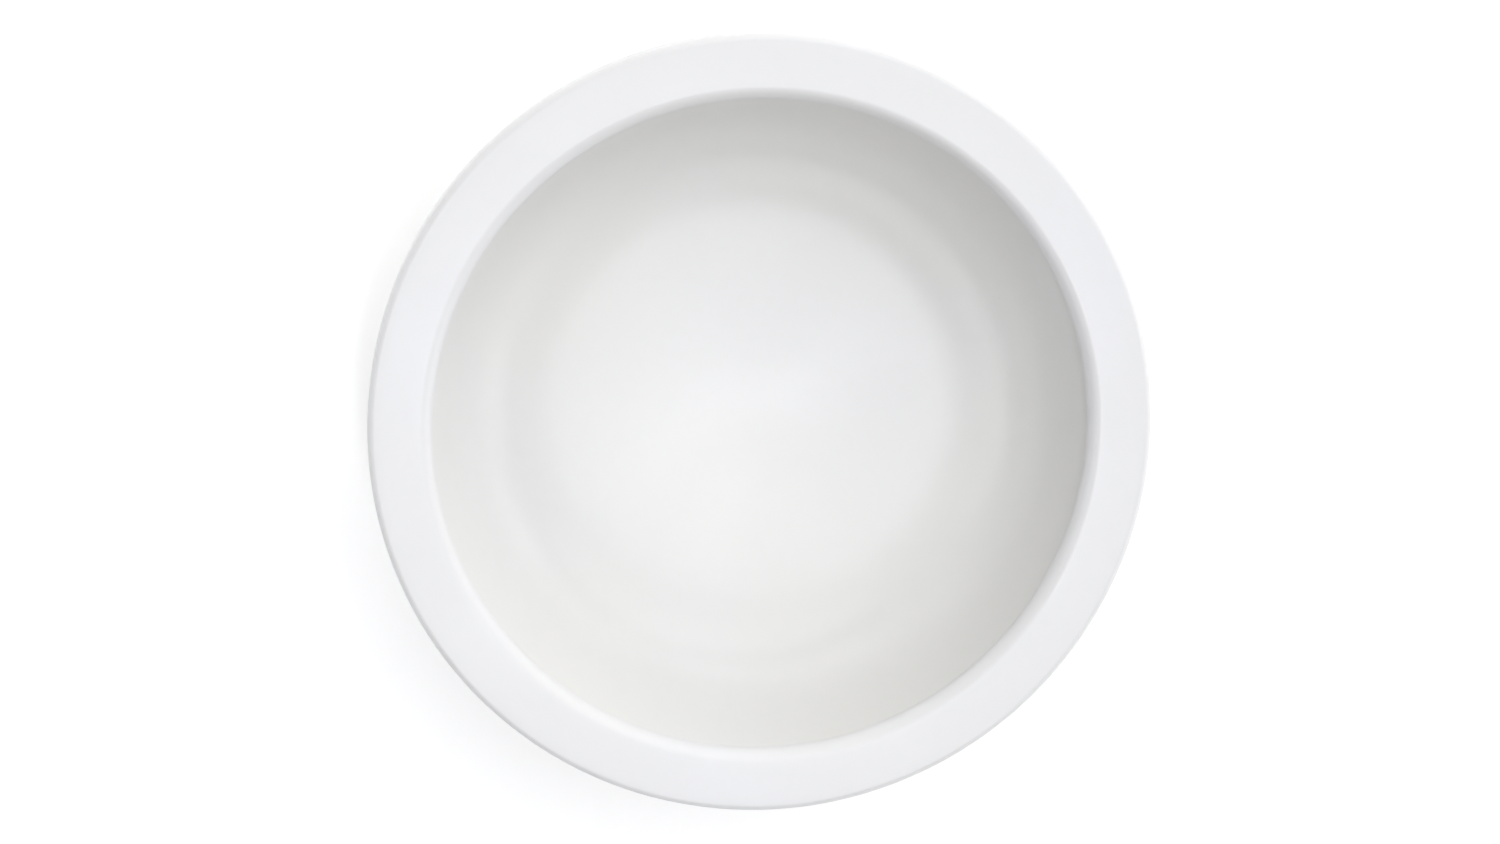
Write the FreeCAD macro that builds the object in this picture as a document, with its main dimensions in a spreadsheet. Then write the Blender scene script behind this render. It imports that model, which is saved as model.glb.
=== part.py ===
import FreeCAD, Part
import math
import os
import re

import Sketcher
from FreeCAD import Vector

# A round ward pan that stands on its own: two plastic mouldings and two soft rings.
#
#   bowl       dished floor, steep wall and an outward flange that the rim hides
#   seat_ring  flat-topped rim with a rounded inner lip and a skirt that snaps over the flange
#   rim_seal   ring clamped between the lip and the flange
#   foot_ring  non-slip ring pressed into the boss under the floor, which the pan stands on
#
# Millimetres and degrees. +Z is up, the axis of the pan is Z, and it stands on Z = 0.

DIMENSIONS = [
    ("rim_radius", 150, "outside of the rim"),
    ("rim_height", 72, "flat top of the rim above the surface it stands on"),
    ("rim_edge", 2.6, "rounding of the rim's outer edge"),
    ("rim_plate", 3, "thickness of the rim's flat top"),
    ("skirt_depth", 15, "from the top of the rim to the bottom of the skirt"),
    ("skirt_wall", 2.6, "thickness of the skirt"),
    ("lip_centre", 130.6, "radius where the flat top starts to round over into the lip"),
    ("lip_round", 5, "rounding of the lip"),
    ("lip_drop", 7.5, "from the top of the rim to the underside of the lip"),
    ("lip_outside", 131, "outside of the leg under the lip"),
    ("rib_count", 24, "radial ribs inside the hollow rim"),
    ("rib_wall", 2, "thickness of a rib"),
    ("bead_round", 0.8, "radius of the bead in the skirt that holds the flange"),
    ("bead_play", 0.1, "play between the bead and the flange"),
    ("flange_play", 0.3, "play between the flange's edge and the skirt"),
    ("flange_wall", 2.8, "thickness of the flange"),
    ("flange_fillet", 2, "fillet between the flange and the bowl's wall"),
    ("mouth_radius", 126.6, "top of the bowl's wall, tucked behind the lip"),
    ("bowl_wall", 2.8, "thickness of the bowl"),
    ("bowl_draft", 17, "lean of the bowl's wall from the vertical"),
    ("bowl_corner", 40, "inside radius between the wall and the floor"),
    ("bowl_dish", 840, "inside radius of the dished floor"),
    ("floor_height", 9, "lowest point of the bowl's inside"),
    ("gusset_count", 12, "gussets between the flange and the wall"),
    ("gusset_wall", 2.4, "thickness of a gusset"),
    ("gusset_depth", 18, "height of a gusset along the wall"),
    ("gusset_inset", 5, "from the flange's edge to a gusset"),
    ("seal_radius", 128.9, "middle of the seal"),
    ("seal_wide", 2.4, "width of the seal"),
    ("seal_sunk", 1, "depth of the seal's groove in the lip, and in the flange"),
    ("seal_round", 0.3, "rounding of the seal's corners"),
    ("foot_radius", 79, "middle of the foot ring"),
    ("foot_wide", 7, "width of the foot ring"),
    ("foot_sunk", 3, "depth of the foot ring's groove in the boss"),
    ("foot_proud", 1.2, "how far the foot ring stands out of the boss"),
    ("foot_round", 0.8, "rounding of the foot ring's lower edges"),
    ("boss_wall", 3.5, "wall of the boss on each side of the foot ring"),
    ("boss_round", 1, "rounding of the boss's lower edges"),
]

doc = FreeCAD.newDocument("ward_pan")
sheet = doc.addObject("Spreadsheet::Sheet", "Dims")
for row, (alias, size, meaning) in enumerate(DIMENSIONS, start=1):
    sheet.set(f"A{row}", alias)
    sheet.set(f"B{row}", str(size))
    sheet.set(f"C{row}", meaning)
    sheet.setAlias(f"B{row}", alias)
doc.recompute()


def formula(text):
    """An expression in which each word with an underscore is a cell of the sheet."""
    return re.sub(r"[a-z]+_[a-z]+", r"Dims.\g<0>", text)


def size_of(text):
    return float(sheet.evalExpression(formula(text)))


def origin_feature(body, role):
    return next(feature for feature in body.Origin.OriginFeatures if feature.Role == role)


def new_body(label):
    body = doc.addObject("PartDesign::Body", label)
    body.Label = label
    return body


# ------------------------------------------------------------------ outlines

# Sketcher's numbers for the ends and the centre of an edge, and for the two axes.
START, END, CENTRE = 1, 2, 3
LEVEL, UPRIGHT = -1, -2


class Outline:
    """A closed outline in a body's XZ plane: across is the radius and up is the height.

    It is drawn corner by corner, back to the first one. A corner is held by two formulas;
    a smooth corner is found by the sketch, because the two edges there are tangent.
    """

    def __init__(self, body, name, across, up):
        self.sketch = body.newObject("Sketcher::SketchObject", name)
        self.sketch.AttachmentSupport = (origin_feature(body, "XZ_Plane"), [""])
        self.sketch.MapMode = "FlatFace"
        self.here = Vector(size_of(across), size_of(up), 0)
        self.corners = [(across, up)]
        self.ends = []

    def line(self, across, up):
        goal = Vector(size_of(across), size_of(up), 0)
        self.draw(Part.LineSegment(self.here, goal), True, goal, (across, up))

    def smooth_line(self, goal):
        self.draw(Part.LineSegment(self.here, goal), True, goal, None)

    def bend(self, radius, turn, across, up):
        """An arc, to the left with turn = 1 and to the right with turn = -1."""
        goal = Vector(size_of(across), size_of(up), 0)
        self.draw_arc(size_of(radius), turn, goal, (across, up))
        self.hold("Radius", [len(self.ends) - 1], radius)

    def smooth_bend(self, radius, turn, goal):
        self.draw_arc(size_of(radius), turn, goal, None)
        self.hold("Radius", [len(self.ends) - 1], radius)

    def half_turn(self, turn, across, up):
        """A half circle to a corner level with this one, or straight above or below it."""
        goal = Vector(size_of(across), size_of(up), 0)
        chord = goal - self.here
        self.draw_arc(chord.Length / 2, turn, goal, (across, up))
        kind, middle = ("DistanceY", up) if abs(chord.x) > abs(chord.y) else ("DistanceX", across)
        self.hold(kind, [LEVEL, START, len(self.ends) - 1, CENTRE], middle)

    def draw_arc(self, radius, turn, goal, corner):
        chord = goal - self.here
        left = Vector(-chord.y, chord.x, 0).normalize()
        reach = math.sqrt(max(radius ** 2 - (chord.Length / 2) ** 2, 0))
        centre = self.here + chord / 2 + left * reach * turn
        ends = (self.here, goal) if turn > 0 else (goal, self.here)
        angles = [math.atan2(end.y - centre.y, end.x - centre.x) for end in ends]
        circle = Part.Circle(centre, Vector(0, 0, 1), radius)
        self.draw(Part.ArcOfCircle(circle, *angles), turn > 0, goal, corner)

    def draw(self, edge, forward, goal, corner):
        self.sketch.addGeometry(edge, False)
        self.ends.append((START, END) if forward else (END, START))
        self.here = goal
        self.corners.append(corner)

    def hold(self, kind, places, text):
        """One dimension, bound to its formula."""
        number = self.sketch.addConstraint(Sketcher.Constraint(kind, *places, size_of(text)))
        self.sketch.setExpression(f"Constraints[{number}]", formula(text))

    def keep(self, kind, *places):
        self.sketch.addConstraint(Sketcher.Constraint(kind, *places))

    def close(self):
        """Joins each edge to the one before it and holds the corners."""
        for edge, (first, _) in enumerate(self.ends):
            before = (edge - 1) % len(self.ends)
            joint = "Tangent" if self.corners[edge] is None else "Coincident"
            self.keep(joint, before, self.ends[before][1], edge, first)
        for edge, corner in enumerate(self.corners[:-1]):
            if corner is None:
                continue
            for text, kind, axis in zip(corner, ("DistanceX", "DistanceY"), (UPRIGHT, LEVEL)):
                if text == "0":
                    self.keep("PointOnObject", edge, self.ends[edge][0], axis)
                else:
                    self.hold(kind, [LEVEL, START, edge, self.ends[edge][0]], text)
        return self.sketch


def rectangle(body, name, inside, outside, bottom, top):
    outline = Outline(body, name, inside, bottom)
    outline.line(outside, bottom)
    outline.line(outside, top)
    outline.line(inside, top)
    outline.line(inside, bottom)
    return outline.close()


# ------------------------------------------------------------------ features


def turned(body, kind, name, sketch):
    """The outline turned about Z. A Revolution has to add volume and a Groove to take it."""
    before = body.Shape.Volume if body.Tip else 0
    feature = body.newObject(f"PartDesign::{kind}", name)
    feature.Profile = sketch
    feature.ReferenceAxis = (sketch, ["V_Axis"])
    feature.Angle = 360
    body.Tip = feature
    doc.recompute()
    if (body.Shape.Volume > before) != (kind == "Revolution"):
        raise RuntimeError(f"{body.Label}: {name} changed the volume the wrong way")


def spokes(body, name, sketch, wall, count):
    """The outline as a plate across the XZ plane, repeated round Z."""
    plate = body.newObject("PartDesign::Pad", f"{name}_plate")
    plate.Profile = sketch
    plate.SideType = "Symmetric"
    plate.setExpression("Length", formula(wall))
    pattern = body.newObject("PartDesign::PolarPattern", f"{name}_pattern")
    pattern.Originals = [plate]
    pattern.Axis = (origin_feature(body, "Z_Axis"), [""])
    pattern.Angle = 360
    pattern.setExpression("Occurrences", formula(count))
    body.Tip = pattern
    doc.recompute()


def round_edges(body, name, radius, rings):
    """Fillets the circular edges at the given (radius, height) pairs."""
    base = body.Tip
    wanted = [(size_of(across), size_of(up)) for across, up in rings]
    chosen = []
    for number, edge in enumerate(base.Shape.Edges, start=1):
        if not edge.Degenerated and isinstance(edge.Curve, Part.Circle):
            ring = (edge.Curve.Radius, edge.Curve.Center.z)
            if any(math.dist(ring, pair) < 1e-4 for pair in wanted):
                chosen.append(f"Edge{number}")
    if len(chosen) != len(rings):
        raise RuntimeError(f"{body.Label}: {name} found {len(chosen)} of {len(rings)} edges")
    fillet = body.newObject("PartDesign::Fillet", name)
    fillet.Base = (base, chosen)
    fillet.setExpression("Radius", formula(radius))
    body.Tip = fillet
    doc.recompute()


# ------------------------------------------------------------------ shared levels and radii

LIP_BOTTOM = "(rim_height - lip_drop)"
LIP_INSIDE = "(lip_centre - sqrt(lip_round ^ 2 - (lip_drop - lip_round) ^ 2))"
PLATE_BOTTOM = "(rim_height - rim_plate)"
SKIRT_INSIDE = "(rim_radius - skirt_wall)"
SKIRT_TURN = "(rim_height - skirt_depth + skirt_wall / 2)"
FLANGE_EDGE = "(rim_radius - skirt_wall - flange_play)"
FLANGE_BOTTOM = "(rim_height - lip_drop - flange_wall)"
BEAD_TOP = f"({FLANGE_BOTTOM} - bead_play)"
BEAD_BOTTOM = f"({BEAD_TOP} - 2 * bead_round)"
SEAL_INSIDE = "(seal_radius - seal_wide / 2)"
SEAL_OUTSIDE = "(seal_radius + seal_wide / 2)"
SEAL_BOTTOM = f"({LIP_BOTTOM} - seal_sunk)"
SEAL_TOP = f"({LIP_BOTTOM} + seal_sunk)"
FOOT_INSIDE = "(foot_radius - foot_wide / 2)"
FOOT_OUTSIDE = "(foot_radius + foot_wide / 2)"
FOOT_TOP = "(foot_proud + foot_sunk)"
BOSS_INSIDE = f"({FOOT_INSIDE} - boss_wall)"
BOSS_OUTSIDE = f"({FOOT_OUTSIDE} + boss_wall)"


def wall_radius(depth_into_wall, height):
    """The radius of the bowl's leaning wall, from its inside face outwards."""
    lean = f"({LIP_BOTTOM} - {height}) * tan(bowl_draft)"
    return f"(mouth_radius + {depth_into_wall} / cos(bowl_draft) - {lean})"


# ------------------------------------------------------------------ bowl


def corner_centre():
    """The centre of the bowl's corner, which touches the dished floor and the leaning wall."""
    lean = math.radians(size_of("bowl_draft"))
    down_wall = Vector(-math.sin(lean), -math.cos(lean), 0)
    into_bowl = Vector(-math.cos(lean), math.sin(lean), 0)
    dish_centre = Vector(0, size_of("floor_height + bowl_dish"), 0)
    mouth = Vector(size_of("mouth_radius"), size_of(LIP_BOTTOM), 0)
    start = mouth + into_bowl * size_of("bowl_corner") - dish_centre
    reach = size_of("bowl_dish - bowl_corner")
    along = start.dot(down_wall)
    travel = math.sqrt(along ** 2 - start.dot(start) + reach ** 2) - along
    return dish_centre + start + down_wall * travel


def make_shell(body):
    """Floor, corner and wall at one thickness, with the flange at the top."""
    centre = corner_centre()
    to_floor = (centre - Vector(0, size_of("floor_height + bowl_dish"), 0)).normalize()
    lean = math.radians(size_of("bowl_draft"))
    to_wall = Vector(math.cos(lean), -math.sin(lean), 0)
    inner, outer = size_of("bowl_corner"), size_of("bowl_corner + bowl_wall")

    outline = Outline(body, "shell_outline", "0", "floor_height")
    outline.smooth_bend("bowl_dish", 1, centre + to_floor * inner)
    outline.smooth_bend("bowl_corner", 1, centre + to_wall * inner)
    outline.line("mouth_radius", LIP_BOTTOM)
    outline.line(FLANGE_EDGE, LIP_BOTTOM)
    outline.line(FLANGE_EDGE, FLANGE_BOTTOM)
    outline.line(wall_radius("bowl_wall", FLANGE_BOTTOM), FLANGE_BOTTOM)
    outline.smooth_line(centre + to_wall * outer)
    outline.smooth_bend("bowl_corner + bowl_wall", -1, centre + to_floor * outer)
    outline.bend("bowl_dish + bowl_wall", -1, "0", "floor_height - bowl_wall")
    outline.line("0", "floor_height")

    floor_inside, wall_inside, wall_outside, floor_outside = 0, 2, 6, 8
    outline.keep("PointOnObject", floor_inside, CENTRE, UPRIGHT)
    outline.keep("PointOnObject", floor_outside, CENTRE, UPRIGHT)
    outline.keep("Parallel", wall_inside, wall_outside)
    sketch = outline.close()
    slope = Sketcher.Constraint("Angle", wall_inside, math.pi / 2 - lean)
    number = sketch.addConstraint(slope)
    sketch.setExpression(f"Constraints[{number}]", formula("90 deg - bowl_draft * 1 deg"))
    turned(body, "Revolution", "shell", sketch)
    corner = (wall_radius("bowl_wall", FLANGE_BOTTOM), FLANGE_BOTTOM)
    round_edges(body, "flange_corner", "flange_fillet", [corner])


def make_boss(body):
    """The ring under the floor, with the groove that takes the foot ring."""
    boss_top = "floor_height + bowl_wall / 4"
    boss = rectangle(body, "boss_outline", BOSS_INSIDE, BOSS_OUTSIDE, "foot_proud", boss_top)
    turned(body, "Revolution", "boss", boss)
    edges = [(BOSS_INSIDE, "foot_proud"), (BOSS_OUTSIDE, "foot_proud")]
    round_edges(body, "boss_edges", "boss_round", edges)
    groove = rectangle(body, "foot_groove_outline", FOOT_INSIDE, FOOT_OUTSIDE, "0", FOOT_TOP)
    turned(body, "Groove", "foot_groove", groove)


def make_bowl():
    body = new_body("bowl")
    make_shell(body)
    make_boss(body)
    seal = (SEAL_INSIDE, SEAL_OUTSIDE, SEAL_BOTTOM, "rim_height")
    turned(body, "Groove", "seal_groove", rectangle(body, "seal_groove_outline", *seal))

    gusset_top = f"({FLANGE_BOTTOM} + flange_wall / 2)"
    gusset_foot = f"({FLANGE_BOTTOM} - gusset_depth)"
    gusset_edge = f"{FLANGE_EDGE} - gusset_inset"
    gusset = Outline(body, "gusset_outline", wall_radius("bowl_wall / 2", gusset_top), gusset_top)
    gusset.line(wall_radius("bowl_wall / 2", gusset_foot), gusset_foot)
    gusset.line(gusset_edge, FLANGE_BOTTOM)
    gusset.line(gusset_edge, gusset_top)
    gusset.line(wall_radius("bowl_wall / 2", gusset_top), gusset_top)
    spokes(body, "gusset", gusset.close(), "gusset_wall", "gusset_count")
    # Half a pitch round, so that the fingers find a free space at each quarter.
    body.setExpression("Placement.Rotation.Angle", formula("180 deg / gusset_count"))
    doc.recompute()
    return body


# ------------------------------------------------------------------ seat ring


def make_seat_ring():
    body = new_body("seat_ring")
    ring = Outline(body, "ring_outline", LIP_INSIDE, LIP_BOTTOM)
    ring.bend("lip_round", -1, "lip_centre", "rim_height")
    ring.line("rim_radius - rim_edge", "rim_height")
    ring.bend("rim_edge", -1, "rim_radius", "rim_height - rim_edge")
    ring.line("rim_radius", SKIRT_TURN)
    ring.half_turn(-1, SKIRT_INSIDE, SKIRT_TURN)
    ring.line(SKIRT_INSIDE, BEAD_BOTTOM)
    ring.half_turn(-1, SKIRT_INSIDE, BEAD_TOP)
    ring.line(SKIRT_INSIDE, PLATE_BOTTOM)
    ring.line("lip_outside", PLATE_BOTTOM)
    ring.line("lip_outside", LIP_BOTTOM)
    ring.line(LIP_INSIDE, LIP_BOTTOM)
    turned(body, "Revolution", "ring", ring.close())

    seal = (SEAL_INSIDE, SEAL_OUTSIDE, SEAL_BOTTOM, SEAL_TOP)
    turned(body, "Groove", "seal_groove", rectangle(body, "seal_groove_outline", *seal))

    rib_inside = "lip_outside - rib_wall / 4"
    rib_outside = f"{SKIRT_INSIDE} + skirt_wall / 2"
    rib_top = f"{PLATE_BOTTOM} + rim_plate / 2"
    rib = rectangle(body, "rib_outline", rib_inside, rib_outside, LIP_BOTTOM, rib_top)
    spokes(body, "rib", rib, "rib_wall", "rib_count")
    return body


# ------------------------------------------------------------------ soft rings


def make_rim_seal():
    body = new_body("rim_seal")
    size = (SEAL_INSIDE, SEAL_OUTSIDE, SEAL_BOTTOM, SEAL_TOP)
    turned(body, "Revolution", "seal", rectangle(body, "seal_outline", *size))
    corners = [(across, up) for across in size[:2] for up in size[2:]]
    round_edges(body, "seal_corners", "seal_round", corners)
    return body


def make_foot_ring():
    body = new_body("foot_ring")
    size = (FOOT_INSIDE, FOOT_OUTSIDE, "0", FOOT_TOP)
    turned(body, "Revolution", "foot", rectangle(body, "foot_outline", *size))
    round_edges(body, "foot_edges", "foot_round", [(FOOT_INSIDE, "0"), (FOOT_OUTSIDE, "0")])
    return body


# ------------------------------------------------------------------ build and write


def check(bodies):
    for item in doc.Objects:
        if {"Invalid", "Error"} & set(item.State):
            raise RuntimeError(f"{item.Label} is {item.State}")
        if item.TypeId == "Sketcher::SketchObject" and not item.FullyConstrained:
            raise RuntimeError(f"{item.Label} is not fully constrained")
    for body in bodies:
        if body.Shape.isNull() or not body.Shape.isValid() or len(body.Shape.Solids) != 1:
            raise RuntimeError(f"{body.Label} is not one valid solid")


pieces = [make_bowl(), make_seat_ring(), make_rim_seal(), make_foot_ring()]
doc.recompute()
check(pieces)
os.makedirs("parts", exist_ok=True)
for piece in pieces:
    piece.Shape.exportStep(f"parts/{piece.Label}.step")
    print(piece.Label, round(piece.Shape.Volume / 1000, 1), "cm3", piece.Shape.BoundBox)
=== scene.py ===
import math

import bmesh
import bpy
from mathutils import Matrix, Vector


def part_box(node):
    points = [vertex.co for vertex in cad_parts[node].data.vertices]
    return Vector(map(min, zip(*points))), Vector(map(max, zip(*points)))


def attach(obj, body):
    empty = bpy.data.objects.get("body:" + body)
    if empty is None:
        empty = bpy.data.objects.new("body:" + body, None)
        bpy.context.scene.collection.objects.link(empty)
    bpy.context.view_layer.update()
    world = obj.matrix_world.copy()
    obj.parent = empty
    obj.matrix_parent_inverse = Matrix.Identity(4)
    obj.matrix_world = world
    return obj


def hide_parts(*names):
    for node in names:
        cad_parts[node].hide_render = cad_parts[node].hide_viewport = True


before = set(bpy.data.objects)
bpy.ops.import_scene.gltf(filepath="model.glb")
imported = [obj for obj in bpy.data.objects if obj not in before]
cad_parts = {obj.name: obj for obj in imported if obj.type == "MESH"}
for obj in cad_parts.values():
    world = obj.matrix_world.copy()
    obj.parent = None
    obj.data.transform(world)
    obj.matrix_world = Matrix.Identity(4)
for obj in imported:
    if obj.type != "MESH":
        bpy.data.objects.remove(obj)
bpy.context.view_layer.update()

# The looks of a round white ward pan: a glossy moulded bowl under a broad flat rim, with a seal
# in the joint and a soft foot ring. Metres. Every piece is a new mesh of revolution, finer than
# the CAD node that it stands for. The outlines are the same, but for the turn between the bowl's
# floor and its wall, which is eased, slightly rounded edges and a small gate mark under the floor.

# ---------------------------------------------------------------- sizes from the frame

BOWL_LOW, BOWL_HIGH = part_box("bowl")
RIM_LOW, RIM_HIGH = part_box("seat_ring")
SEAL_LOW, SEAL_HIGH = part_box("rim_seal")
FOOT_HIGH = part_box("foot_ring")[1]

RIM_TOP = RIM_HIGH.z
RIM_RADIUS = RIM_HIGH.x
SKIRT_BOTTOM = RIM_LOW.z
LIP_BOTTOM = BOWL_HIGH.z
FLANGE_EDGE = BOWL_HIGH.x
BOSS_BOTTOM = BOWL_LOW.z
FOOT_TOP = FOOT_HIGH.z
FOOT_OUTSIDE = FOOT_HIGH.x
SEAL_OUTSIDE = SEAL_HIGH.x

# ---------------------------------------------------------------- sizes of the design

# The CAD model's own sizes, apart from the easing, the cut edges and the gate mark.
MM = 0.001
RIM_EDGE = 2.6 * MM
RIM_PLATE = 3 * MM
SKIRT_WALL = 2.6 * MM
BEAD_ROUND = 0.8 * MM
BEAD_PLAY = 0.1 * MM
LIP_CENTRE = 130.6 * MM
LIP_ROUND = 5 * MM
LIP_OUTSIDE = 131 * MM
RIB_COUNT = 24
RIB_WALL = 2 * MM
MOUTH_RADIUS = 126.6 * MM
BOWL_WALL = 2.8 * MM
BOWL_DRAFT = math.radians(17)
BOWL_CORNER = 40 * MM
BOWL_DISH = 840 * MM
BOWL_EASING = 24 * MM
FLOOR_HEIGHT = 9 * MM
FLANGE_WALL = 2.8 * MM
FLANGE_FILLET = 2 * MM
GUSSET_COUNT = 12
GUSSET_WALL = 2.4 * MM
GUSSET_DEPTH = 18 * MM
GUSSET_INSET = 5 * MM
BOSS_WALL = 3.5 * MM
BOSS_ROUND = 1 * MM
FOOT_WIDE = 7 * MM
FOOT_ROUND = 0.8 * MM
SEAL_WIDE = 2.4 * MM
SEAL_ROUND = 0.3 * MM

CUT_EDGE = 0.4 * MM
GATE_RADIUS = 4 * MM
GATE_PROUD = 0.25 * MM

# How finely the pieces are made: columns round the axis, and steps along the bowl's outline.
COLUMNS = 360
INSIDE_STEPS = 110
OUTSIDE_STEPS = 44
ARC_STEPS = 60
UNDERSIDE_STEPS = 24
SHARP_ANGLE = math.radians(32)
ON_AXIS = 1e-9

# ---------------------------------------------------------------- outlines


def point(radius, height, rounding=0.0):
    return (radius, height, rounding)


def arc(centre, radius, first, last, steps):
    """Points of an arc. Angles are in degrees, 0 outwards and 90 up."""
    angles = [math.radians(first + (last - first) * step / steps) for step in range(steps + 1)]
    return [point(centre[0] + radius * math.cos(a), centre[1] + radius * math.sin(a)) for a in angles]


def rounded(corners, steps=5):
    """The outline through the corners, with an arc at each corner that has a rounding."""
    outline = []
    for number, (radius, height, rounding) in enumerate(corners):
        here = Vector((radius, height))
        if not rounding:
            outline.append(here)
            continue
        back = (Vector(corners[number - 1][:2]) - here).normalized()
        ahead = (Vector(corners[number + 1][:2]) - here).normalized()
        half = back.angle(ahead) / 2
        centre = here + (back + ahead).normalized() * rounding / math.sin(half)
        first = here + back * rounding / math.tan(half) - centre
        last = here + ahead * rounding / math.tan(half) - centre
        for step in range(steps + 1):
            outline.append(centre + first.slerp(last, step / steps) * rounding)
    return outline


def lengths_along(path):
    travelled = [0.0]
    for before, after in zip(path, path[1:]):
        travelled.append(travelled[-1] + (after - before).length)
    return travelled


def straight_beside(path):
    """The straight line between a path's ends, with one point for each of the path's points."""
    travelled = lengths_along(path)
    return [path[0].lerp(path[-1], length / travelled[-1]) for length in travelled]


def eased(path, count, window):
    """The path in count even steps, its bends eased over a window's length so that they show less."""
    travelled = lengths_along(path)
    step = travelled[-1] / count
    even, leg = [], 0
    for number in range(count + 1):
        goal = min(number * step, travelled[-1])
        while leg < len(path) - 2 and travelled[leg + 1] < goal:
            leg += 1
        share = (goal - travelled[leg]) / (travelled[leg + 1] - travelled[leg])
        even.append(path[leg].lerp(path[leg + 1], share))
    soft = []
    for number in range(count + 1):
        reach = min(round(window / step / 2), number, count - number)
        near = even[number - reach:number + reach + 1]
        soft.append(sum(near, Vector((0, 0))) / len(near))
    return soft


# ---------------------------------------------------------------- turned pieces


class Webs:
    """Plates that stand in planes through the axis, between a path and the line that closes it."""

    MOST_SUNK = 0.5

    def __init__(self, path, count, wall, chamfer, first_turn):
        self.path = path
        self.line = straight_beside(path)
        self.count = count
        self.half_wall = wall / 2
        self.chamfer = chamfer
        self.first_turn = first_turn


class Column:
    """One place round the axis. It leans away from its web, so that the web's sides are flat.

    sink is None between webs. On a web it is how far the web's edge is sunk for its chamfer.
    """

    MOST_LEAN = 0.05

    def __init__(self, turn, lean=0.0, sink=None):
        self.turn = turn
        self.lean = lean
        self.sink = sink

    def place(self, spot, half_wall):
        angle = self.turn
        if self.lean and spot.x > 0:
            angle += self.lean * math.asin(min(half_wall / spot.x, self.MOST_LEAN))
        return (spot.x * math.cos(angle), spot.x * math.sin(angle), spot.y)


def columns_round(webs):
    if webs is None:
        return [Column(2 * math.pi * number / COLUMNS) for number in range(COLUMNS)]
    pitch = 2 * math.pi / webs.count
    inner = 1 - webs.chamfer / webs.half_wall
    across_web = ((-1, webs.chamfer), (-inner, 0), (inner, 0), (1, webs.chamfer))
    free = COLUMNS // webs.count - len(across_web)
    columns = []
    for web in range(webs.count):
        turn = (web + webs.first_turn) * pitch
        for lean, sink in across_web:
            columns.append(Column(turn, lean, sink))
        for number in range(1, free + 1):
            share = number / (free + 1)
            columns.append(Column(turn + share * pitch, 1 - 2 * share))
    return columns


def turned_piece(name, before, after, webs=None):
    """A closed piece of revolution. The outline is before, the webs' path and after."""
    path = webs.path if webs else []
    outline = before + path + after
    first, last = len(before), len(before) + len(path) - 1
    half_wall = webs.half_wall if webs else 0.0
    on_axis = outline[0].x < ON_AXIS
    vertices, faces, known = [], [], {}

    def vertex(number, column, index, on_web):
        spot = outline[index]
        inside = on_web and first < index < last
        if inside:
            spot = webs.line[index - first]
            if column.sink:
                step = outline[index] - spot
                spot = spot + step * min(webs.MOST_SUNK, column.sink / step.length)
        key = (index, -1 if spot.x < ON_AXIS else number, inside)
        if key not in known:
            known[key] = len(vertices)
            vertices.append(column.place(spot, half_wall))
        return known[key]

    def face(corners):
        kept = [corner for place, corner in enumerate(corners) if corner != corners[place - 1]]
        if len(kept) > 2:
            faces.append(kept)

    columns = columns_round(webs)
    for number, column in enumerate(columns):
        other_number = (number + 1) % len(columns)
        other = columns[other_number]
        on_web = column.sink is not None and other.sink is not None
        for index in range(len(outline) - (1 if on_axis else 0)):
            ahead = (index + 1) % len(outline)
            face([
                vertex(number, column, index, on_web),
                vertex(other_number, other, index, on_web),
                vertex(other_number, other, ahead, on_web),
                vertex(number, column, ahead, on_web),
            ])
        if column.sink and (not on_web or columns[number - 1].sink is None):
            for index in range(first, last):
                face([
                    vertex(number, column, index, False),
                    vertex(number, column, index + 1, False),
                    vertex(number, column, index + 1, True),
                    vertex(number, column, index, True),
                ])
    return finished_mesh(name, vertices, faces)


def finished_mesh(name, vertices, faces):
    """A mesh with its faces outwards, smooth but for the edges that turn sharply."""
    mesh = bpy.data.meshes.new(name)
    mesh.from_pydata(vertices, [], faces)
    shape = bmesh.new()
    shape.from_mesh(mesh)
    bmesh.ops.recalc_face_normals(shape, faces=shape.faces)
    shape.to_mesh(mesh)
    shape.free()
    mesh.shade_smooth()
    mesh.set_sharp_from_angle(angle=SHARP_ANGLE)
    piece = bpy.data.objects.new(name, mesh)
    bpy.context.scene.collection.objects.link(piece)
    return piece


# ---------------------------------------------------------------- bowl

DISH_CENTRE = Vector((0, FLOOR_HEIGHT + BOWL_DISH))
TO_WALL = Vector((math.cos(BOWL_DRAFT), -math.sin(BOWL_DRAFT)))
FLANGE_BOTTOM = LIP_BOTTOM - FLANGE_WALL
BOSS_OUTSIDE = FOOT_OUTSIDE + BOSS_WALL
FOOT_INSIDE = FOOT_OUTSIDE - FOOT_WIDE
BOSS_INSIDE = FOOT_INSIDE - BOSS_WALL
SEAL_INSIDE = SEAL_OUTSIDE - SEAL_WIDE


def corner_centre():
    """The centre of the bowl's corner, which touches the dished floor and the leaning wall."""
    down_wall = Vector((-math.sin(BOWL_DRAFT), -math.cos(BOWL_DRAFT)))
    start = Vector((MOUTH_RADIUS, LIP_BOTTOM)) - TO_WALL * BOWL_CORNER - DISH_CENTRE
    along = start.dot(down_wall)
    reach = BOWL_DISH - BOWL_CORNER
    travel = math.sqrt(along ** 2 - start.dot(start) + reach ** 2) - along
    return DISH_CENTRE + start + down_wall * travel


CORNER = corner_centre()


def wall_radius(height):
    """The radius of the bowl's wall on its outside."""
    lean = (LIP_BOTTOM - height) * math.tan(BOWL_DRAFT)
    return MOUTH_RADIUS + BOWL_WALL / math.cos(BOWL_DRAFT) - lean


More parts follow.
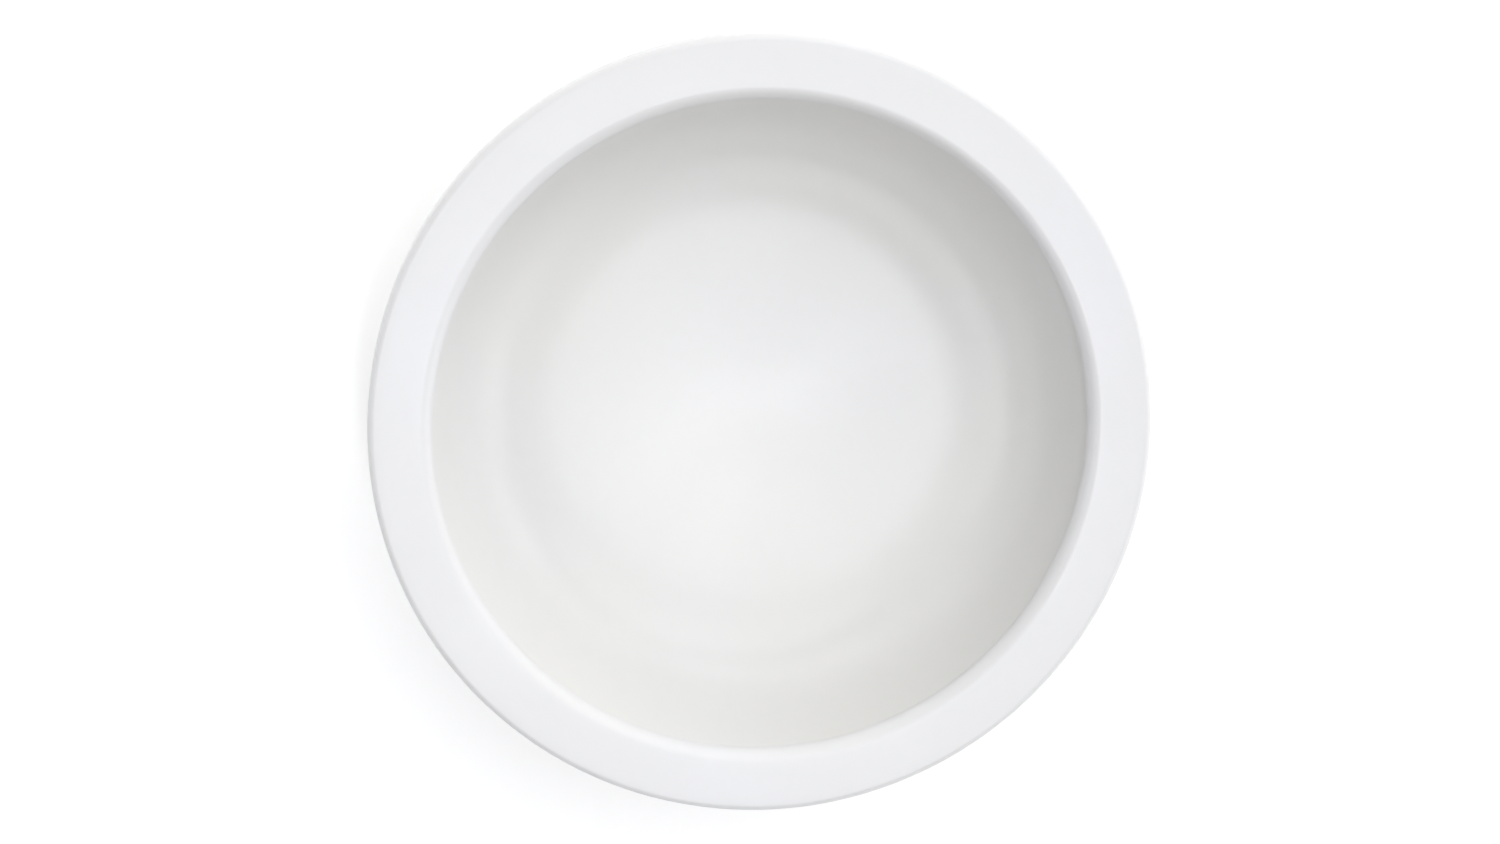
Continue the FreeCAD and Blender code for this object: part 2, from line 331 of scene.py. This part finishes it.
def underside_height(radius):
    """The height of the floor's underside where it is dished."""
    return DISH_CENTRE.y - math.sqrt((BOWL_DISH + BOWL_WALL) ** 2 - radius ** 2)


# The angles between which the bowl's corner turns, from its wall to where it meets the floor.
WALL_TURN = -math.degrees(BOWL_DRAFT)
FLOOR_TURN = math.degrees(math.atan2(CORNER.y - DISH_CENTRE.y, CORNER.x))


def bowl_inside():
    """The outline from the middle of the floor up to just under the top of the wall."""
    path = arc(DISH_CENTRE, BOWL_DISH, -90, FLOOR_TURN, ARC_STEPS)
    path += arc(CORNER, BOWL_CORNER, FLOOR_TURN, WALL_TURN, ARC_STEPS)[1:]
    short_of_top = 0.02
    wall_top = Vector((MOUTH_RADIUS, LIP_BOTTOM)).lerp(Vector(path[-1][:2]), short_of_top)
    return eased(rounded(path + [point(*wall_top)]), INSIDE_STEPS, BOWL_EASING)


def bowl_top(wall_top):
    """The top edge of the wall, the groove for the seal and the edge of the flange."""
    return rounded([
        point(*wall_top), point(MOUTH_RADIUS, LIP_BOTTOM, CUT_EDGE),
        point(SEAL_INSIDE, LIP_BOTTOM), point(SEAL_INSIDE, SEAL_LOW.z),
        point(SEAL_OUTSIDE, SEAL_LOW.z), point(SEAL_OUTSIDE, LIP_BOTTOM),
        point(FLANGE_EDGE, LIP_BOTTOM, CUT_EDGE), point(FLANGE_EDGE, FLANGE_BOTTOM, CUT_EDGE),
        point(FLANGE_EDGE - GUSSET_INSET / 2, FLANGE_BOTTOM),
    ])[1:]


def under_flange():
    """The outline that the gussets fill: in under the flange, then down the wall."""
    gusset_edge = FLANGE_EDGE - GUSSET_INSET
    on_flange = 4 * MM
    drops = (7 * MM, 12 * MM, GUSSET_DEPTH)
    path = [
        point(gusset_edge, FLANGE_BOTTOM), point(gusset_edge - on_flange, FLANGE_BOTTOM),
        point(wall_radius(FLANGE_BOTTOM), FLANGE_BOTTOM, FLANGE_FILLET),
    ]
    path += [point(wall_radius(FLANGE_BOTTOM - drop), FLANGE_BOTTOM - drop) for drop in drops]
    return rounded(path)


def bowl_outside(start):
    """The outline from the gussets' foot round the corner to near the boss."""
    degrees_short = 3
    path = [point(*start)]
    stop = FLOOR_TURN + degrees_short
    path += arc(CORNER, BOWL_CORNER + BOWL_WALL, WALL_TURN, stop, ARC_STEPS)
    return eased(rounded(path), OUTSIDE_STEPS, BOWL_EASING)[1:]


def bowl_underside(start):
    """The boss with its slot for the foot ring, the floor inside it and the gate mark."""
    path = [
        point(*start),
        point(BOSS_OUTSIDE, underside_height(BOSS_OUTSIDE), BOSS_ROUND),
        point(BOSS_OUTSIDE, BOSS_BOTTOM, BOSS_ROUND), point(FOOT_OUTSIDE, BOSS_BOTTOM),
        point(FOOT_OUTSIDE, FOOT_TOP), point(FOOT_INSIDE, FOOT_TOP),
        point(FOOT_INSIDE, BOSS_BOTTOM), point(BOSS_INSIDE, BOSS_BOTTOM, BOSS_ROUND),
        point(BOSS_INSIDE, underside_height(BOSS_INSIDE), BOSS_ROUND),
    ]
    from_boss, from_gate, gate_lean = 2.5 * MM, 1 * MM, 0.3 * MM
    first, last = BOSS_INSIDE - from_boss, GATE_RADIUS + from_gate
    for step in range(UNDERSIDE_STEPS + 1):
        radius = first + (last - first) * step / UNDERSIDE_STEPS
        path.append(point(radius, underside_height(radius)))
    gate_bottom = underside_height(0) - GATE_PROUD
    path += [
        point(GATE_RADIUS, underside_height(GATE_RADIUS), 0.2 * MM),
        point(GATE_RADIUS - gate_lean, gate_bottom, 0.1 * MM),
        point(0, gate_bottom),
    ]
    return rounded(path)[1:]


def make_bowl():
    inside = bowl_inside()
    gusset_path = under_flange()
    outside = bowl_outside(gusset_path[-1])
    gussets = Webs(gusset_path, GUSSET_COUNT, GUSSET_WALL, chamfer=0.35 * MM, first_turn=0.5)
    above = inside + bowl_top(inside[-1])
    return turned_piece("bowl_moulding", above, outside + bowl_underside(outside[-1]), gussets)


# ---------------------------------------------------------------- rim


def make_seat_ring():
    plate_bottom = RIM_TOP - RIM_PLATE
    skirt_inside = RIM_RADIUS - SKIRT_WALL
    skirt_turn = SKIRT_BOTTOM + SKIRT_WALL / 2
    bead_centre = FLANGE_BOTTOM - BEAD_PLAY - BEAD_ROUND
    fillet = 0.8 * MM
    hollow = rounded([
        point(LIP_OUTSIDE, LIP_BOTTOM),
        point(LIP_OUTSIDE, plate_bottom, fillet), point(skirt_inside, plate_bottom, fillet),
        point(skirt_inside, LIP_BOTTOM),
    ])
    lip_end = 180 + math.degrees(math.asin((RIM_TOP - LIP_ROUND - LIP_BOTTOM) / LIP_ROUND))
    outside = arc((skirt_inside, bead_centre), BEAD_ROUND, 90, 270, steps=12)
    outside += arc((skirt_inside + SKIRT_WALL / 2, skirt_turn), SKIRT_WALL / 2, -180, 0, steps=16)
    upright = RIM_TOP - skirt_turn
    outside += [point(RIM_RADIUS, skirt_turn + upright * share) for share in (0.25, 0.5)]
    outside += arc((RIM_RADIUS - RIM_EDGE, RIM_TOP - RIM_EDGE), RIM_EDGE, 0, 90, steps=20)
    flat = RIM_RADIUS - RIM_EDGE - LIP_CENTRE
    outside += [point(LIP_CENTRE + flat * share, RIM_TOP) for share in (0.75, 0.5, 0.25)]
    outside += arc((LIP_CENTRE, RIM_TOP - LIP_ROUND), LIP_ROUND, 90, lip_end, steps=36)
    outside += [
        point(SEAL_INSIDE, LIP_BOTTOM), point(SEAL_INSIDE, SEAL_HIGH.z),
        point(SEAL_OUTSIDE, SEAL_HIGH.z), point(SEAL_OUTSIDE, LIP_BOTTOM),
    ]
    ribs = Webs(hollow, RIB_COUNT, RIB_WALL, chamfer=0.1 * MM, first_turn=0)
    return turned_piece("rim_moulding", [], rounded(outside), ribs)


# ---------------------------------------------------------------- soft rings


def make_rim_seal():
    inside, outside, low, high = SEAL_INSIDE, SEAL_OUTSIDE, SEAL_LOW.z, SEAL_HIGH.z
    corners = [(inside, low), (outside, low), (outside, high), (inside, high)]
    loop = [point(*corners[-1])] + [point(*corner, SEAL_ROUND) for corner in corners]
    return turned_piece("joint_seal", rounded(loop + [point(*corners[0])])[1:-1], [])


def make_foot_ring():
    loop = [
        point(FOOT_INSIDE, FOOT_TOP), point(FOOT_INSIDE, 0, FOOT_ROUND),
        point(FOOT_OUTSIDE, 0, FOOT_ROUND), point(FOOT_OUTSIDE, FOOT_TOP),
    ]
    return turned_piece("foot_tread", rounded(loop), [])


# ---------------------------------------------------------------- materials


# Where a Mix node has its colour inputs and its colour output.
A_COLOUR, B_COLOUR, MIXED_COLOUR = 6, 7, 2

# How a colour is shaded for variation, channel by channel.
CREAM_SHADE = (0.996, 0.992, 0.978)
GREY_SHADE = 0.97
DUSTY_SHADE = 1.35
DARK_SHADE = 0.88


class Shader:
    """A Principled material whose patterns lie on the object's own coordinates, in metres."""

    def __init__(self, name, **constants):
        self.material = bpy.data.materials.new(name)
        self.material.use_nodes = True
        self.nodes = self.material.node_tree.nodes
        self.links = self.material.node_tree.links
        self.surface = self.nodes["Principled BSDF"]
        for socket, value in constants.items():
            self.surface.inputs[socket.replace("_", " ")].default_value = value
        self.place = self.nodes.new("ShaderNodeTexCoord").outputs["Object"]
        self.slope = None

    def add(self, kind, inputs, **settings):
        """One node, with a plain value or a link in each of its inputs."""
        node = self.nodes.new(kind)
        for name, value in settings.items():
            setattr(node, name, value)
        for socket, value in inputs.items():
            if isinstance(value, bpy.types.NodeSocket):
                self.links.new(value, node.inputs[socket])
            else:
                node.inputs[socket].default_value = value
        return node

    def math(self, operation, *values):
        return self.add("ShaderNodeMath", dict(enumerate(values)), operation=operation).outputs[0]

    def vector(self, operation, *values, result="Vector"):
        node = self.add("ShaderNodeVectorMath", dict(enumerate(values)), operation=operation)
        return node.outputs[result]

    def noise(self, size, detail=3.0, place=None):
        """Noise about 0.5, with features of about the given size."""
        inputs = {"Vector": place or self.place, "Scale": 1 / size, "Detail": detail}
        return self.add("ShaderNodeTexNoise", inputs).outputs["Fac"]

    def spread(self, value, low, high, to_low=0.0, to_high=1.0):
        """The value, taken from the range low to high to a new range, with soft ends."""
        inputs = {"Value": value, "From Min": low, "From Max": high}
        inputs |= {"To Min": to_low, "To Max": to_high}
        node = self.add("ShaderNodeMapRange", inputs, interpolation_type="SMOOTHSTEP")
        return node.outputs["Result"]

    def total(self, *values):
        """The sum of the values."""
        result = values[0]
        for value in values[1:]:
            result = self.math("ADD", result, value)
        return result

    def tint(self, base, change, amount):
        """The base colour, mixed towards the change by the amount."""
        node = self.add("ShaderNodeMix", {"Factor": amount}, data_type="RGBA")
        for socket, value in ((A_COLOUR, base), (B_COLOUR, change)):
            if isinstance(value, bpy.types.NodeSocket):
                self.links.new(value, node.inputs[socket])
            else:
                node.inputs[socket].default_value = (*value, 1)
        return node.outputs[MIXED_COLOUR]

    def dent(self, pattern, depth):
        """A bump depth metres high where the pattern is 1, on top of the bumps so far."""
        inputs = {"Height": pattern, "Distance": depth, "Strength": 1.0}
        if self.slope:
            inputs["Normal"] = self.slope
        self.slope = self.add("ShaderNodeBump", inputs).outputs["Normal"]

    def finish(self, colour, roughness):
        self.links.new(colour, self.surface.inputs["Base Color"])
        self.links.new(roughness, self.surface.inputs["Roughness"])
        self.links.new(self.slope, self.surface.inputs["Normal"])
        return self.material

    # The patterns that the materials share.

    def height(self):
        return self.add("ShaderNodeSeparateXYZ", {0: self.place}).outputs["Z"]

    def reach(self):
        """The distance from the axis."""
        return self.vector("LENGTH", self.vector("MULTIPLY", self.place, (1, 1, 0)), result="Value")

    def wiped_round(self, across, angle):
        """Streaks that run round the axis: across metres wide and an angle long."""
        flat = self.vector("MULTIPLY", self.place, (1, 1, 0))
        heading = self.vector("MULTIPLY", self.vector("NORMALIZE", flat), (1 / angle, 1 / angle, 0))
        along = self.math("DIVIDE", self.math("ADD", self.reach(), self.height()), across)
        lifted = self.add("ShaderNodeCombineXYZ", {"Z": along}).outputs[0]
        return self.noise(1.0, 1.0, self.vector("ADD", heading, lifted))

    def scratches(self, width, length, seed):
        """Thin straight scratches in three directions, 1 in a scratch and 0 elsewhere."""
        layers = []
        turn_between = 1.1
        for number in range(3):
            inputs = {
                "Vector": self.place, "Location": (seed, number, 0),
                "Rotation": (0.3, 0.2, seed + number * turn_between),
                "Scale": (length, width, width),
            }
            stretched = self.add("ShaderNodeMapping", inputs, vector_type="TEXTURE").outputs[0]
            layers.append(self.spread(self.noise(1.0, 0.0, stretched), 0.74, 0.8))
        return self.math("MAXIMUM", self.math("MAXIMUM", layers[0], layers[1]), layers[2])


def pan_plastic(name, white, smoothest, worn, seed):
    """White moulded plastic. smoothest is its least roughness, and worn(shader) gives 1 where
    it is rubbed in use."""
    shader = Shader(name, IOR=1.5)
    cream = [channel * shade for channel, shade in zip(white, CREAM_SHADE)]
    grey = [channel * GREY_SHADE for channel in white]
    rubbed = worn(shader)
    clouds = shader.noise(90 * MM, 0.0)
    mottle = shader.noise(6 * MM, 0.0)
    colour = shader.tint(white, cream, shader.spread(clouds, 0.3, 0.7))
    colour = shader.tint(colour, grey, shader.spread(mottle, 0.45, 0.85, 0.0, 0.2))
    colour = shader.tint(colour, grey, shader.math("MULTIPLY", rubbed, 0.3))

    patches = shader.spread(shader.noise(45 * MM, 0.0), 0.45, 0.65)
    wiping = shader.spread(shader.wiped_round(0.5 * MM, 0.45), 0.62, 0.72)
    wiping = shader.math("MULTIPLY", wiping, patches)
    marks = shader.math("MULTIPLY", shader.scratches(0.35 * MM, 9 * MM, seed), patches)
    scuffs = shader.math("MULTIPLY", shader.scratches(0.6 * MM, 3 * MM, seed + 5), rubbed)
    smudges = shader.noise(28 * MM, 1.0)
    smudges = shader.spread(smudges, 0.25, 0.75, smoothest, smoothest + 0.03)
    roughness = shader.total(
        smudges, shader.math("MULTIPLY", wiping, 0.03), shader.math("MULTIPLY", marks, 0.08),
        shader.math("MULTIPLY", rubbed, 0.04), shader.math("MULTIPLY", scuffs, 0.08),
    )
    shader.dent(shader.noise(2.4 * MM, 1.0), 0.012 * MM)
    shader.dent(shader.noise(22 * MM, 1.0), 0.05 * MM)
    shader.dent(shader.math("MAXIMUM", marks, scuffs), -0.0015 * MM)
    return shader.finish(colour, roughness)


def bowl_wear(shader):
    """The middle of the bowl's floor, where it is scrubbed a little, and the foot of the boss."""
    middle = shader.spread(shader.reach(), 20 * MM, 95 * MM, 0.2, 0.0)
    foot = shader.spread(shader.height(), BOSS_BOTTOM, BOSS_BOTTOM + 3 * MM, 1.0, 0.0)
    return shader.math("MAXIMUM", middle, foot)


def rim_wear(shader):
    """The outer edge of the rim and the bottom of the skirt."""
    edge = shader.spread(shader.reach(), RIM_RADIUS - 4 * MM, RIM_RADIUS, 0.0, 0.7)
    hem = shader.spread(shader.height(), SKIRT_BOTTOM, SKIRT_BOTTOM + 3 * MM, 1.0, 0.0)
    return shader.math("MAXIMUM", edge, hem)


def soft_rubber(name, grey, tread):
    """Matt moulded elastomer with a fine grain, dusty up to the height tread above the ground."""
    shader = Shader(name, IOR=1.48, Sheen_Weight=0.15, Sheen_Roughness=0.5)
    dusty = [channel * DUSTY_SHADE for channel in grey]
    dark = [channel * DARK_SHADE for channel in grey]
    contact = shader.spread(shader.height(), 0.0, tread, 1.0, 0.0)
    dust = shader.math("MULTIPLY", contact, shader.spread(shader.noise(5 * MM), 0.4, 0.7))
    colour = shader.tint(grey, dark, shader.spread(shader.noise(14 * MM), 0.4, 0.7))
    colour = shader.tint(colour, dusty, dust)
    marks = shader.scratches(0.3 * MM, 4 * MM, 2.0)
    roughness = shader.total(
        shader.spread(shader.noise(6 * MM), 0.3, 0.7, 0.55, 0.68),
        shader.math("MULTIPLY", dust, 0.15), shader.math("MULTIPLY", marks, -0.08),
    )
    shader.dent(shader.noise(0.45 * MM, 2.0), 0.03 * MM)
    shader.dent(marks, -0.02 * MM)
    return shader.finish(colour, roughness)


# ---------------------------------------------------------------- the pieces in place


def place_piece(piece, node, material):
    """The piece with its material, in the place of a CAD node."""
    piece.data.materials.append(material)
    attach(piece, "root")
    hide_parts(node)


BOWL_WHITE = (0.80, 0.798, 0.79)
RIM_WHITE = (0.81, 0.811, 0.822)
FOOT_GREY = (0.40, 0.41, 0.42)
SEAL_GREY = (0.50, 0.51, 0.52)

bowl_finish = pan_plastic("bowl_white", BOWL_WHITE, smoothest=0.28, worn=bowl_wear, seed=1.0)
rim_finish = pan_plastic("rim_white", RIM_WHITE, smoothest=0.32, worn=rim_wear, seed=3.0)
seal_finish = soft_rubber("seal_elastomer", SEAL_GREY, tread=0.1 * MM)
foot_finish = soft_rubber("foot_elastomer", FOOT_GREY, tread=1.5 * MM)

place_piece(make_bowl(), "bowl", bowl_finish)
place_piece(make_seat_ring(), "seat_ring", rim_finish)
place_piece(make_rim_seal(), "rim_seal", seal_finish)
place_piece(make_foot_ring(), "foot_ring", foot_finish)


# ---------------------------------------------------------------- floor and backdrop

STAGE_RADIUS = 6.0
STAGE_HEIGHT = 5.0
FLOOR_DROP = 0.2 * MM
FLOOR_GLOW = 0.3
FLOOR_WHITE = (0.86, 0.86, 0.86)
FLOOR_CLOUD = (0.84, 0.84, 0.84)
BACKDROP_GLOW = 1.0


def new_stage(name, corners, faces):
    mesh = bpy.data.meshes.new(name)
    mesh.from_pydata(corners, [], faces)
    piece = bpy.data.objects.new(name, mesh)
    bpy.context.scene.collection.objects.link(piece)
    return piece


def circle_of(height):
    turns = [2 * math.pi * number / COLUMNS for number in range(COLUMNS)]
    return [(STAGE_RADIUS * math.cos(turn), STAGE_RADIUS * math.sin(turn), height) for turn in turns]


def make_floor():
    """A pale table with a little light of its own, so that the pan's shadow on it is faint."""
    floor = new_stage("floor", circle_of(-FLOOR_DROP), [list(range(COLUMNS))])
    shader = Shader("floor_white", Specular_IOR_Level=0.2, Emission_Color=(1, 1, 1, 1))
    shader.surface.inputs["Emission Strength"].default_value = FLOOR_GLOW
    cloudy = shader.spread(shader.noise(400 * MM), 0.3, 0.7)
    colour = shader.tint(FLOOR_WHITE, FLOOR_CLOUD, cloudy)
    roughness = shader.spread(shader.noise(50 * MM), 0.3, 0.7, 0.75, 0.85)
    shader.dent(shader.noise(1 * MM, 1.0), 0.005 * MM)
    floor.data.materials.append(shader.finish(colour, roughness))


def make_backdrop():
    """The pale wall behind a low view. It neither lights the pan nor shades it."""
    corners = circle_of(-FLOOR_DROP) + circle_of(STAGE_HEIGHT)
    faces = []
    for number in range(COLUMNS):
        other = (number + 1) % COLUMNS
        faces.append((number, other, other + COLUMNS, number + COLUMNS))
    backdrop = new_stage("backdrop", corners, faces)
    material = bpy.data.materials.new("backdrop_white")
    material.use_nodes = True
    surface = material.node_tree.nodes["Principled BSDF"]
    surface.inputs["Base Color"].default_value = (0, 0, 0, 1)
    surface.inputs["Emission Color"].default_value = (1, 1, 1, 1)
    surface.inputs["Emission Strength"].default_value = BACKDROP_GLOW
    backdrop.data.materials.append(material)
    backdrop.visible_diffuse = False
    backdrop.visible_glossy = False
    backdrop.visible_transmission = False
    backdrop.visible_shadow = False


make_floor()
make_backdrop()


# ---------------------------------------------------------------- light

WORLD_COLOUR = (0.97, 0.98, 1.0, 1)
WORLD_STRENGTH = 0.05
KEY_STRENGTH = 0.53
FILL_STRENGTH = 0.235
TOP_STRENGTH = 1.14
OVERHEAD_STRENGTH = 0.45
OVERHEAD_COLOUR = (0.96, 0.98, 1.06)


def make_sun(name, azimuth, elevation, spread, strength, colour=(1, 1, 1)):
    """A light from far away, spread degrees wide. Azimuth 0 is from +X and 90 from +Y."""
    light = bpy.data.lights.new(name, "SUN")
    light.energy = strength
    light.color = colour
    light.angle = math.radians(spread)
    lamp = bpy.data.objects.new(name, light)
    across, up = math.radians(azimuth), math.radians(elevation)
    towards = Vector((math.cos(up) * math.cos(across), math.cos(up) * math.sin(across), math.sin(up)))
    lamp.rotation_euler = towards.to_track_quat("Z", "Y").to_euler()
    bpy.context.scene.collection.objects.link(lamp)


def make_lights():
    """A long low softbox on the right, a fill on the left, and two lights overhead."""
    for azimuth in range(-30, 121, 30):
        make_sun(f"key_{azimuth}", azimuth, 15, 50, KEY_STRENGTH)
    for azimuth in range(180, 271, 30):
        make_sun(f"fill_{azimuth}", azimuth, 45, 30, FILL_STRENGTH)
    make_sun("top", 60, 64, 45, TOP_STRENGTH)
    make_sun("overhead", 295, 79, 7, OVERHEAD_STRENGTH, OVERHEAD_COLOUR)


world = bpy.data.worlds.new("studio")
world.use_nodes = True
world.node_tree.nodes["Background"].inputs["Color"].default_value = WORLD_COLOUR
world.node_tree.nodes["Background"].inputs["Strength"].default_value = WORLD_STRENGTH
bpy.context.scene.world = world
make_lights()
bpy.context.scene.view_settings.view_transform = "Standard"


# ---------------------------------------------------------------- camera

# The camera looks down on the middle of the rim, a little off the axis of the pan. Its lens and
# sensor are in millimetres.
CAMERA_DISTANCE = 1.235
CAMERA_TILT = math.radians(11.57)
CAMERA_SIDE = math.radians(121.6)
CAMERA_LENS = 77.98
CAMERA_SENSOR = 36
CAMERA_SHIFT = (-0.0097, 0.0058)


def make_camera():
    data = bpy.data.cameras.new("camera")
    data.sensor_width = CAMERA_SENSOR
    data.lens = CAMERA_LENS
    data.shift_x, data.shift_y = CAMERA_SHIFT
    camera = bpy.data.objects.new("camera", data)
    back = Vector((
        math.sin(CAMERA_TILT) * math.cos(CAMERA_SIDE),
        math.sin(CAMERA_TILT) * math.sin(CAMERA_SIDE),
        math.cos(CAMERA_TILT),
    ))
    tilt = Matrix.Rotation(CAMERA_TILT, 4, Vector((0, 0, 1)).cross(back))
    camera.matrix_world = Matrix.Translation(Vector((0, 0, RIM_TOP)) + back * CAMERA_DISTANCE) @ tilt
    bpy.context.scene.collection.objects.link(camera)
    bpy.context.scene.camera = camera


make_camera()
